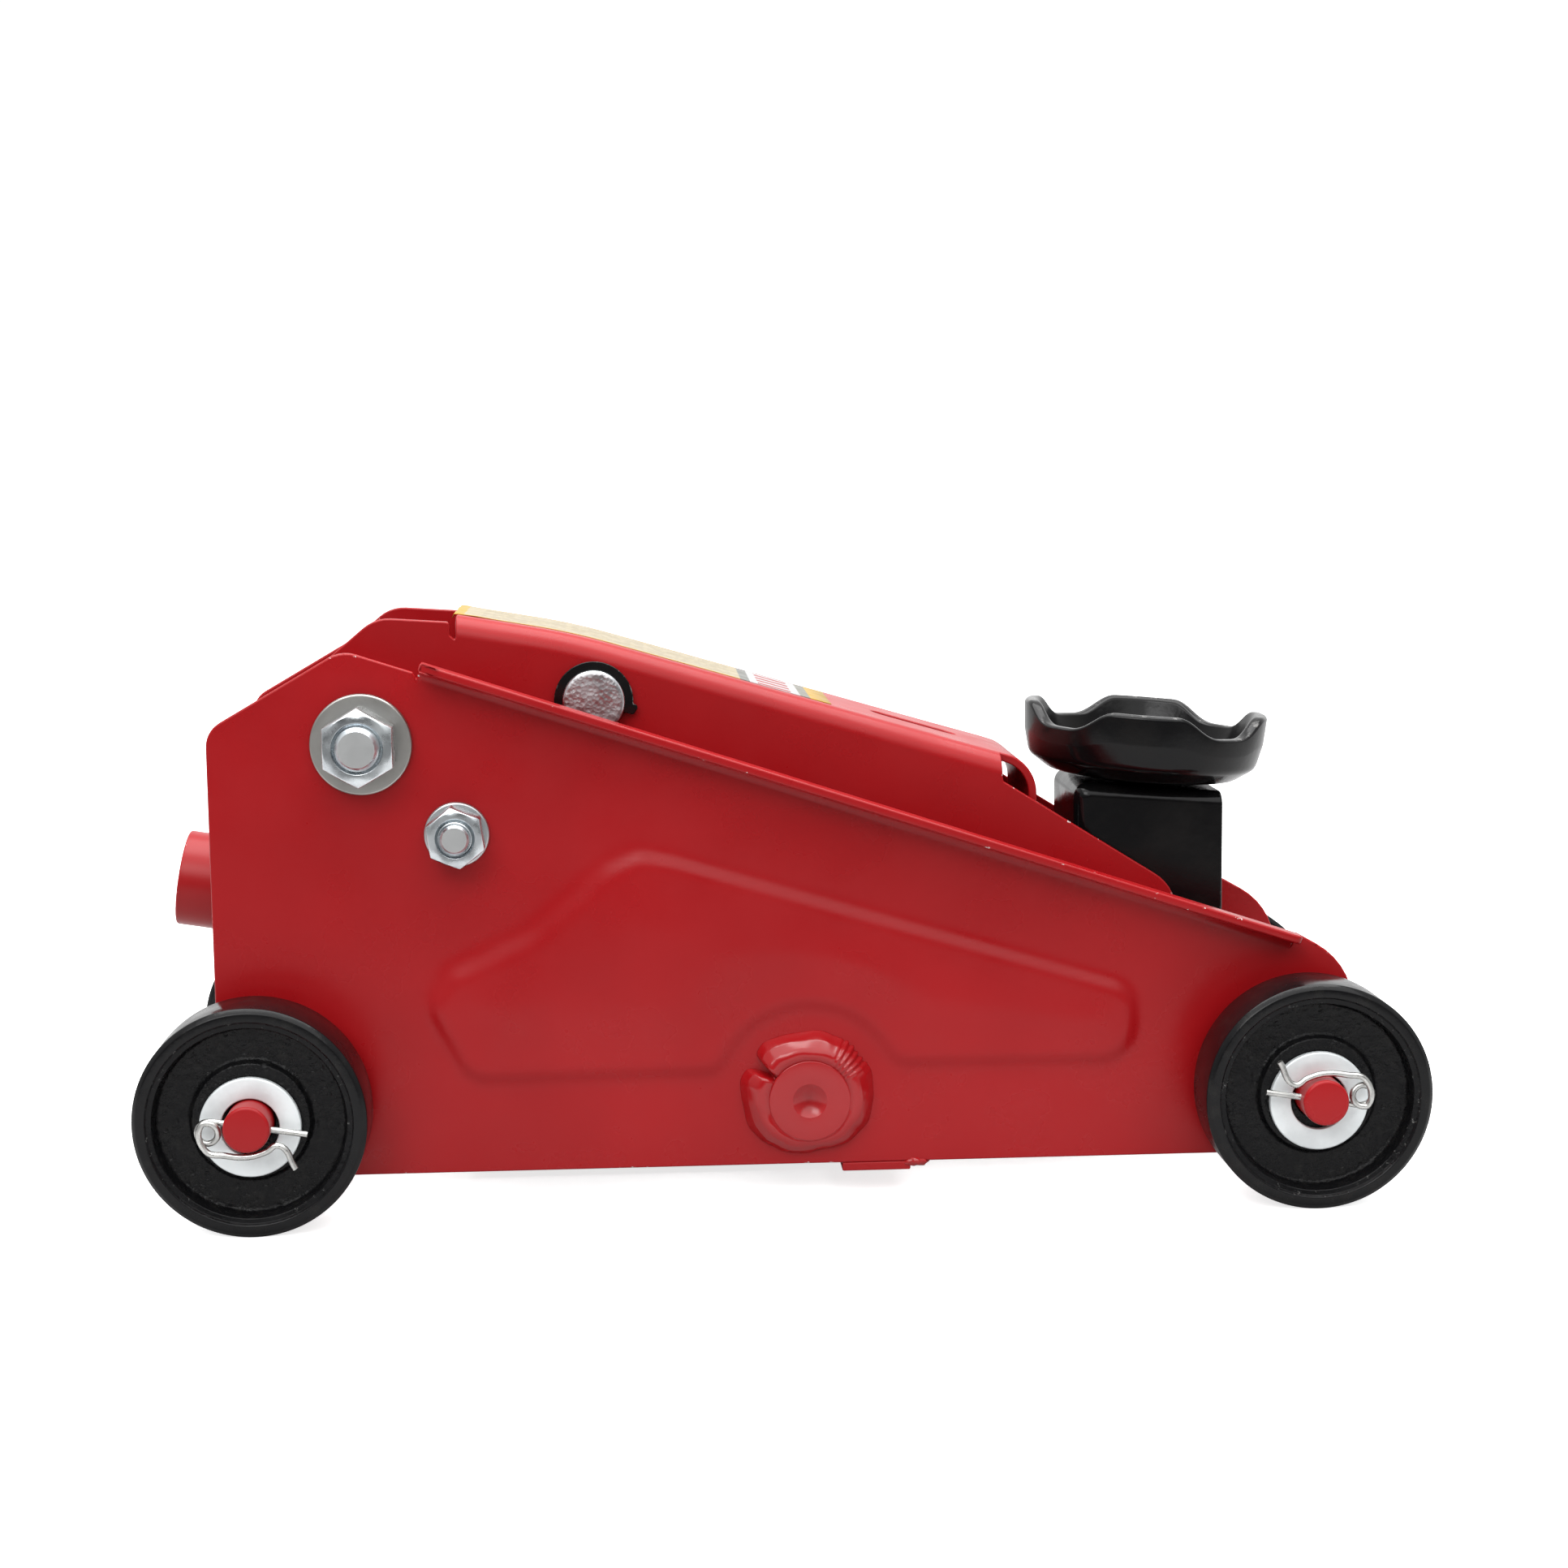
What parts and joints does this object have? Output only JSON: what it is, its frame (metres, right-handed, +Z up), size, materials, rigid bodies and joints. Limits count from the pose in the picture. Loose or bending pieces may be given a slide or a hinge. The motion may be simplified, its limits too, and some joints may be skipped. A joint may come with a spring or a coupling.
{
  "type": "trolley jack",
  "caption": "Hydraulic trolley jack with pressed side plates, a folded lift arm, a self-levelling swivel saddle, an upright ram unit, a pumping handle socket and cast wheels.",
  "frame": {"origin": "on the floor, midway between the two axles and between the side plates", "axes": "+X from the handle socket toward the saddle, +Y to the left side of the jack, +Z up"},
  "size_m": [0.45, 0.208, 0.2085],
  "materials": {
    "red_enamel": "semi-gloss red enamel over pressed sheet steel",
    "black_enamel": "gloss black enamel",
    "cast_black": "gloss black paint over rough casting",
    "bright_zinc": "bright zinc plate",
    "washer_zinc": "dull zinc plate",
    "spring_steel": "drawn spring steel wire",
    "oiled_steel": "blackened, oiled steel tube",
    "nylon": "black moulded plug"
  },
  "bodies": {
    "frame": {"side_plate_right": "red_enamel", "side_plate_left": "red_enamel", "trunnion_shaft": "red_enamel", "bottom_cross_bar": "red_enamel", "rear_axle": "red_enamel", "front_axle": "red_enamel", "rear_axle_tube": "red_enamel", "front_axle_tube": "red_enamel", "rear_wheel_washer_right": "washer_zinc", "rear_wheel_washer_left": "washer_zinc", "front_wheel_washer_right": "washer_zinc", "front_wheel_washer_left": "washer_zinc", "rear_wheel_clip_right": "spring_steel", "rear_wheel_clip_left": "spring_steel", "front_wheel_clip_right": "spring_steel", "front_wheel_clip_left": "spring_steel", "arm_pivot_bolt": "bright_zinc", "arm_pivot_nut": "bright_zinc", "arm_pivot_washer_right": "washer_zinc", "arm_pivot_washer_left": "washer_zinc", "link_pivot_bolt": "bright_zinc", "link_pivot_nut": "bright_zinc", "link_pivot_washer_right": "washer_zinc", "link_pivot_washer_left": "washer_zinc", "link_spacer_right": "washer_zinc", "link_spacer_left": "washer_zinc", "power_block": "cast_black", "reservoir_tube": "black_enamel", "cylinder_tube": "oiled_steel", "gland_cap": "black_enamel", "filler_plug": "nylon", "pump_barrel": "oiled_steel", "return_spring_right": "spring_steel", "return_spring_left": "spring_steel"},
    "arm": {"lift_arm": "red_enamel", "arm_pivot_tube": "red_enamel", "ram_pin": "washer_zinc", "ram_pin_ring_right": "black_enamel", "ram_pin_ring_left": "black_enamel", "saddle_bracket_pin": "washer_zinc"},
    "links": {"link_bar_right": "black_enamel", "link_bar_left": "black_enamel", "link_front_pin": "washer_zinc"},
    "saddle_mount": {"saddle_bracket": "black_enamel"},
    "saddle_cup": {"saddle": "black_enamel", "saddle_clip": "spring_steel"},
    "ram_rod": {"ram": "bright_zinc", "ram_head": "washer_zinc"},
    "socket": {"handle_socket": "red_enamel", "yoke_plate_right": "red_enamel", "yoke_plate_left": "red_enamel", "yoke_hub": "red_enamel", "pump_roller": "spring_steel"},
    "plunger": {"pump_plunger": "bright_zinc"},
    "valve": {"release_valve": "bright_zinc"},
    "rear_wheel_right_body": {"rear_wheel_right": "cast_black"},
    "rear_wheel_left_body": {"rear_wheel_left": "cast_black"},
    "front_wheel_right_body": {"front_wheel_right": "cast_black"},
    "front_wheel_left_body": {"front_wheel_left": "cast_black"}
  },
  "joints": [
    {"name": "lift", "type": "hinge", "parent": "frame", "child": "arm", "pos_m": [-0.1463, 0, 0.1662], "axis": [0, -1, 0], "range_deg": [0, 45]},
    {"name": "link_swing", "type": "hinge", "parent": "frame", "child": "links", "pos_m": [-0.114, 0, 0.134], "axis": [0, -1, 0], "range_deg": [0, 45]},
    {"name": "saddle_level", "type": "hinge", "parent": "arm", "child": "saddle_mount", "pos_m": [0.129, 0, 0.096], "axis": [0, -1, 0], "range_deg": [-45, 0]},
    {"name": "saddle_swivel", "type": "hinge", "parent": "saddle_mount", "child": "saddle_cup", "pos_m": [0.1386, 0, 0.14113], "axis": [0.0785, 0, 0.9969], "continuous": true},
    {"name": "ram_extend", "type": "slide", "parent": "frame", "child": "ram_rod", "axis": [-0.4665, 0, 0.8845], "range_m": [0, 0.0625], "deforming": ["return_spring_right", "return_spring_left"]},
    {"name": "socket_pump", "type": "hinge", "parent": "frame", "child": "socket", "pos_m": [-0.114, 0, 0.134], "axis": [0, 1, 0], "range_deg": [0, 40]},
    {"name": "plunger_stroke", "type": "slide", "parent": "frame", "child": "plunger", "axis": [-0.4665, 0, 0.8845], "range_m": [0, 0.022]},
    {"name": "release_turn", "type": "hinge", "parent": "frame", "child": "valve", "pos_m": [-0.1384, 0, 0.027], "axis": [-1, 0, 0], "range_deg": [0, 120]},
    {"name": "rear_wheel_right_spin", "type": "hinge", "parent": "frame", "child": "rear_wheel_right_body", "pos_m": [-0.185, 0, 0.04], "axis": [0, 1, 0], "continuous": true},
    {"name": "rear_wheel_left_spin", "type": "hinge", "parent": "frame", "child": "rear_wheel_left_body", "pos_m": [-0.185, 0, 0.04], "axis": [0, 1, 0], "continuous": true},
    {"name": "front_wheel_right_spin", "type": "hinge", "parent": "frame", "child": "front_wheel_right_body", "pos_m": [0.185, 0, 0.04], "axis": [0, 1, 0], "continuous": true},
    {"name": "front_wheel_left_spin", "type": "hinge", "parent": "frame", "child": "front_wheel_left_body", "pos_m": [0.185, 0, 0.04], "axis": [0, 1, 0], "continuous": true}
  ],
  "couplings": [
    {"joint": "link_swing", "follows": "lift", "ratio": 1},
    {"joint": "saddle_level", "follows": "lift", "ratio": -1},
    {"joint": "ram_extend", "follows": "lift", "m_per_rad": 0.0792},
    {"joint": "plunger_stroke", "follows": "socket_pump", "m_per_rad": 0.031}
  ]
}
